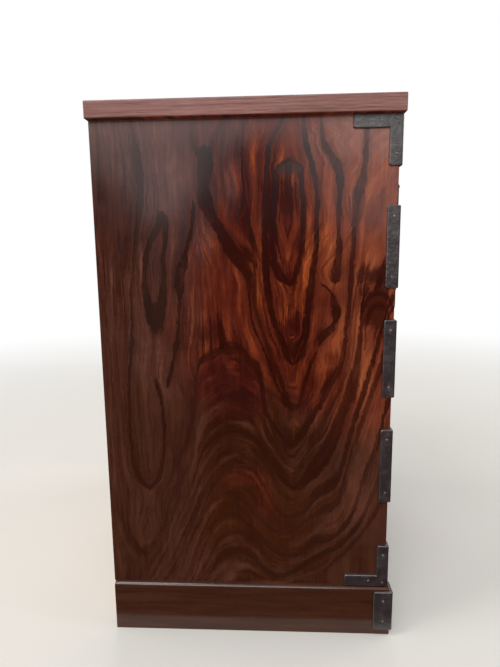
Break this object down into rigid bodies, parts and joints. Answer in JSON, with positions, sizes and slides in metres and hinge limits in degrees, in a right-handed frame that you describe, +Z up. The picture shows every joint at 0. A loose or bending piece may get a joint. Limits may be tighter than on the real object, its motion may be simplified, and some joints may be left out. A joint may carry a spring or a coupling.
{
  "type": "chest of drawers",
  "caption": "Japanese-style chest of drawers in glossy rosewood with a plinth, overhanging top, black iron corner fittings and hanging bail pulls",
  "frame": {"origin": "on the floor, in the middle of the overall box from the pulls to the top board's rear edge", "axes": "drawers face -Y and pull out along -Y, +X to the right as the drawers are faced, +Z up"},
  "size_m": [0.6262, 0.48, 0.8415],
  "materials": {
    "rosewood": "glossy clear lacquer over strongly figured red-brown rosewood",
    "dark_rosewood": "satin dark brown lacquer",
    "pale_softwood": "plain planed softwood",
    "black_iron": "matte black, hammered"
  },
  "bodies": {
    "case": {"top_board": "rosewood", "left_side_panel": "rosewood", "right_side_panel": "rosewood", "back_panel": "pale_softwood", "bottom_board": "pale_softwood", "lower_shelf": "pale_softwood", "middle_shelf": "pale_softwood", "upper_shelf": "pale_softwood", "bottom_rail": "rosewood", "lower_rail": "rosewood", "middle_rail": "rosewood", "upper_rail": "rosewood", "top_rail": "rosewood", "upper_divider": "rosewood", "second_divider": "rosewood", "plinth_front": "dark_rosewood", "plinth_left": "dark_rosewood", "plinth_right": "dark_rosewood", "plinth_back": "pale_softwood", "plinth_corner_blocks": "pale_softwood", "top_left_corner_iron": "black_iron", "top_right_corner_iron": "black_iron", "bottom_left_corner_iron": "black_iron", "bottom_right_corner_iron": "black_iron", "left_edge_irons": "black_iron", "right_edge_irons": "black_iron", "plinth_irons": "black_iron", "iron_nails": "black_iron"},
    "upper_left_drawer": {"upper_left_drawer_front": "rosewood", "upper_left_drawer_box": "pale_softwood", "upper_left_drawer_bottom": "pale_softwood", "upper_left_drawer_pull_posts": "black_iron"},
    "upper_left_drawer_bail": {"upper_left_drawer_bail": "black_iron"},
    "upper_right_drawer": {"upper_right_drawer_front": "rosewood", "upper_right_drawer_box": "pale_softwood", "upper_right_drawer_bottom": "pale_softwood", "upper_right_drawer_pull_posts": "black_iron"},
    "upper_right_drawer_bail": {"upper_right_drawer_bail": "black_iron"},
    "second_left_drawer": {"second_left_drawer_front": "rosewood", "second_left_drawer_box": "pale_softwood", "second_left_drawer_bottom": "pale_softwood", "second_left_drawer_pull_posts": "black_iron"},
    "second_left_drawer_bail": {"second_left_drawer_bail": "black_iron"},
    "second_right_drawer": {"second_right_drawer_front": "rosewood", "second_right_drawer_box": "pale_softwood", "second_right_drawer_bottom": "pale_softwood", "second_right_drawer_pull_posts": "black_iron"},
    "second_right_drawer_bail": {"second_right_drawer_bail": "black_iron"},
    "third_drawer": {"third_drawer_front": "rosewood", "third_drawer_box": "pale_softwood", "third_drawer_bottom": "pale_softwood", "third_drawer_pull_posts": "black_iron"},
    "third_drawer_left_bail": {"third_drawer_left_bail": "black_iron"},
    "third_drawer_right_bail": {"third_drawer_right_bail": "black_iron"},
    "bottom_drawer": {"bottom_drawer_front": "rosewood", "bottom_drawer_box": "pale_softwood", "bottom_drawer_bottom": "pale_softwood", "bottom_drawer_pull_posts": "black_iron"},
    "bottom_drawer_left_bail": {"bottom_drawer_left_bail": "black_iron"},
    "bottom_drawer_right_bail": {"bottom_drawer_right_bail": "black_iron"}
  },
  "joints": [
    {"name": "upper_left_drawer_slide", "type": "slide", "parent": "case", "child": "upper_left_drawer", "axis": [0, -1, 0], "range_m": [0, 0.32]},
    {"name": "upper_left_drawer_bail_swing", "type": "hinge", "parent": "upper_left_drawer", "child": "upper_left_drawer_bail", "pos_m": [-0.1435, -0.2345, 0.73095], "axis": [-1, 0, 0], "range_deg": [-30, 205]},
    {"name": "upper_right_drawer_slide", "type": "slide", "parent": "case", "child": "upper_right_drawer", "axis": [0, -1, 0], "range_m": [0, 0.32]},
    {"name": "upper_right_drawer_bail_swing", "type": "hinge", "parent": "upper_right_drawer", "child": "upper_right_drawer_bail", "pos_m": [0.1435, -0.2345, 0.73095], "axis": [-1, 0, 0], "range_deg": [-30, 205]},
    {"name": "second_left_drawer_slide", "type": "slide", "parent": "case", "child": "second_left_drawer", "axis": [0, -1, 0], "range_m": [0, 0.32]},
    {"name": "second_left_drawer_bail_swing", "type": "hinge", "parent": "second_left_drawer", "child": "second_left_drawer_bail", "pos_m": [-0.1435, -0.2345, 0.56295], "axis": [-1, 0, 0], "range_deg": [-30, 205]},
    {"name": "second_right_drawer_slide", "type": "slide", "parent": "case", "child": "second_right_drawer", "axis": [0, -1, 0], "range_m": [0, 0.32]},
    {"name": "second_right_drawer_bail_swing", "type": "hinge", "parent": "second_right_drawer", "child": "second_right_drawer_bail", "pos_m": [0.1435, -0.2345, 0.56295], "axis": [-1, 0, 0], "range_deg": [-30, 205]},
    {"name": "third_drawer_slide", "type": "slide", "parent": "case", "child": "third_drawer", "axis": [0, -1, 0], "range_m": [0, 0.32]},
    {"name": "third_drawer_left_bail_swing", "type": "hinge", "parent": "third_drawer", "child": "third_drawer_left_bail", "pos_m": [-0.12, -0.2345, 0.39295], "axis": [-1, 0, 0], "range_deg": [-30, 205]},
    {"name": "third_drawer_right_bail_swing", "type": "hinge", "parent": "third_drawer", "child": "third_drawer_right_bail", "pos_m": [0.12, -0.2345, 0.39295], "axis": [-1, 0, 0], "range_deg": [-30, 205]},
    {"name": "bottom_drawer_slide", "type": "slide", "parent": "case", "child": "bottom_drawer", "axis": [0, -1, 0], "range_m": [0, 0.32]},
    {"name": "bottom_drawer_left_bail_swing", "type": "hinge", "parent": "bottom_drawer", "child": "bottom_drawer_left_bail", "pos_m": [-0.12, -0.2345, 0.21295], "axis": [-1, 0, 0], "range_deg": [-30, 205]},
    {"name": "bottom_drawer_right_bail_swing", "type": "hinge", "parent": "bottom_drawer", "child": "bottom_drawer_right_bail", "pos_m": [0.12, -0.2345, 0.21295], "axis": [-1, 0, 0], "range_deg": [-30, 205]}
  ]
}
